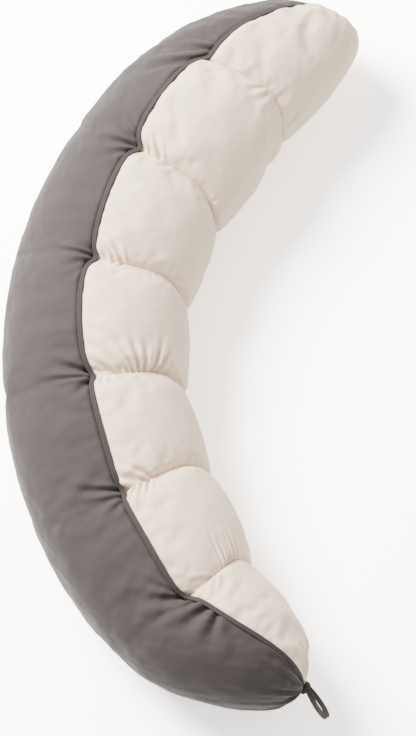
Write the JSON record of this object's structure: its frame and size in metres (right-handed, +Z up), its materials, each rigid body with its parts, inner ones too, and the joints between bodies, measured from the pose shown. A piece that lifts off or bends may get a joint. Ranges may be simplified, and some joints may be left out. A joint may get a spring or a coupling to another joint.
{
  "type": "nursing pillow",
  "caption": "Crescent-shaped nursing pillow with a gathered, piped cover in dark and light cloth, a zip along the outer curve and a tape loop at each tip.",
  "frame": {"origin": "on the floor, under the middle of the pillow's box", "axes": "+X from tip to tip, towards the tip whose loop hangs against it; +Y towards the outer curve, so the crescent opens towards -Y; +Z up"},
  "size_m": [1.108, 0.5236, 0.2249],
  "materials": {
    "grey_jersey": "brushed cotton jersey, warm grey",
    "cream_jersey": "brushed cotton jersey, light beige",
    "elastic": "flat woven elastic, white",
    "grey_welt": "bias-cut cotton, warm grey",
    "welt_cord": "twisted cotton cord, natural",
    "zip_tape": "woven polyester tape, dark grey",
    "zip_nylon": "nylon coil, dark grey",
    "zip_metal": "lacquered zinc alloy, dark grey",
    "label_cloth": "satin ribbon, blank, white",
    "grey_tape": "folded cotton tape, dark grey",
    "liner_cloth": "plain woven cotton, off-white",
    "beads": "loose expanded polystyrene beads, white"
  },
  "bodies": {
    "cover": {"outer_panel_upper": "grey_jersey", "outer_panel_lower": "grey_jersey", "inner_panel_1": "cream_jersey", "inner_panel_2": "cream_jersey", "inner_panel_3": "cream_jersey", "inner_panel_4": "cream_jersey", "inner_panel_5": "cream_jersey", "inner_panel_6": "cream_jersey", "inner_panel_7": "cream_jersey", "gather_elastic_1": "elastic", "gather_elastic_2": "elastic", "gather_elastic_3": "elastic", "gather_elastic_4": "elastic", "gather_elastic_5": "elastic", "gather_elastic_6": "elastic", "upper_welt_cover": "grey_welt", "lower_welt_cover": "grey_welt", "upper_welt_cord_outer": "welt_cord", "upper_welt_cord_inner": "welt_cord", "lower_welt_cord_outer": "welt_cord", "lower_welt_cord_inner": "welt_cord", "zip_tape_upper": "zip_tape", "zip_tape_lower": "zip_tape", "zip_coil_upper": "zip_nylon", "zip_coil_lower": "zip_nylon", "zip_stop_left": "zip_metal", "zip_stop_right": "zip_metal", "care_label": "label_cloth", "left_binding": "grey_tape", "right_binding": "grey_tape", "inner_liner": "liner_cloth", "bead_filling": "beads"},
    "zip_slider": {"zip_slider": "zip_metal"},
    "zip_pull": {"zip_pull": "zip_metal"},
    "left_loop": {"left_loop": "grey_tape"},
    "right_loop": {"right_loop": "grey_tape"}
  },
  "joints": [
    {"name": "zip_travel", "type": "hinge", "parent": "cover", "child": "zip_slider", "pos_m": [-0.00181, -0.41084, 0.0639], "axis": [0, 0, 1], "range_deg": [0, 48.9]},
    {"name": "zip_pull_swing", "type": "hinge", "parent": "zip_slider", "child": "zip_pull", "pos_m": [0.27747, 0.19261, 0.0639], "axis": [-0.1592, -0.344, -0.9254], "range_deg": [0, 170]},
    {"name": "left_loop_swing", "type": "hinge", "parent": "cover", "child": "left_loop", "pos_m": [-0.517, -0.23379, 0.105], "axis": [0, 0, -1], "range_deg": [-105, 65]},
    {"name": "right_loop_swing", "type": "hinge", "parent": "cover", "child": "right_loop", "pos_m": [0.54955, -0.18708, 0.105], "axis": [-0.2015, -0.7391, 0.6428], "range_deg": [0, 150]}
  ]
}
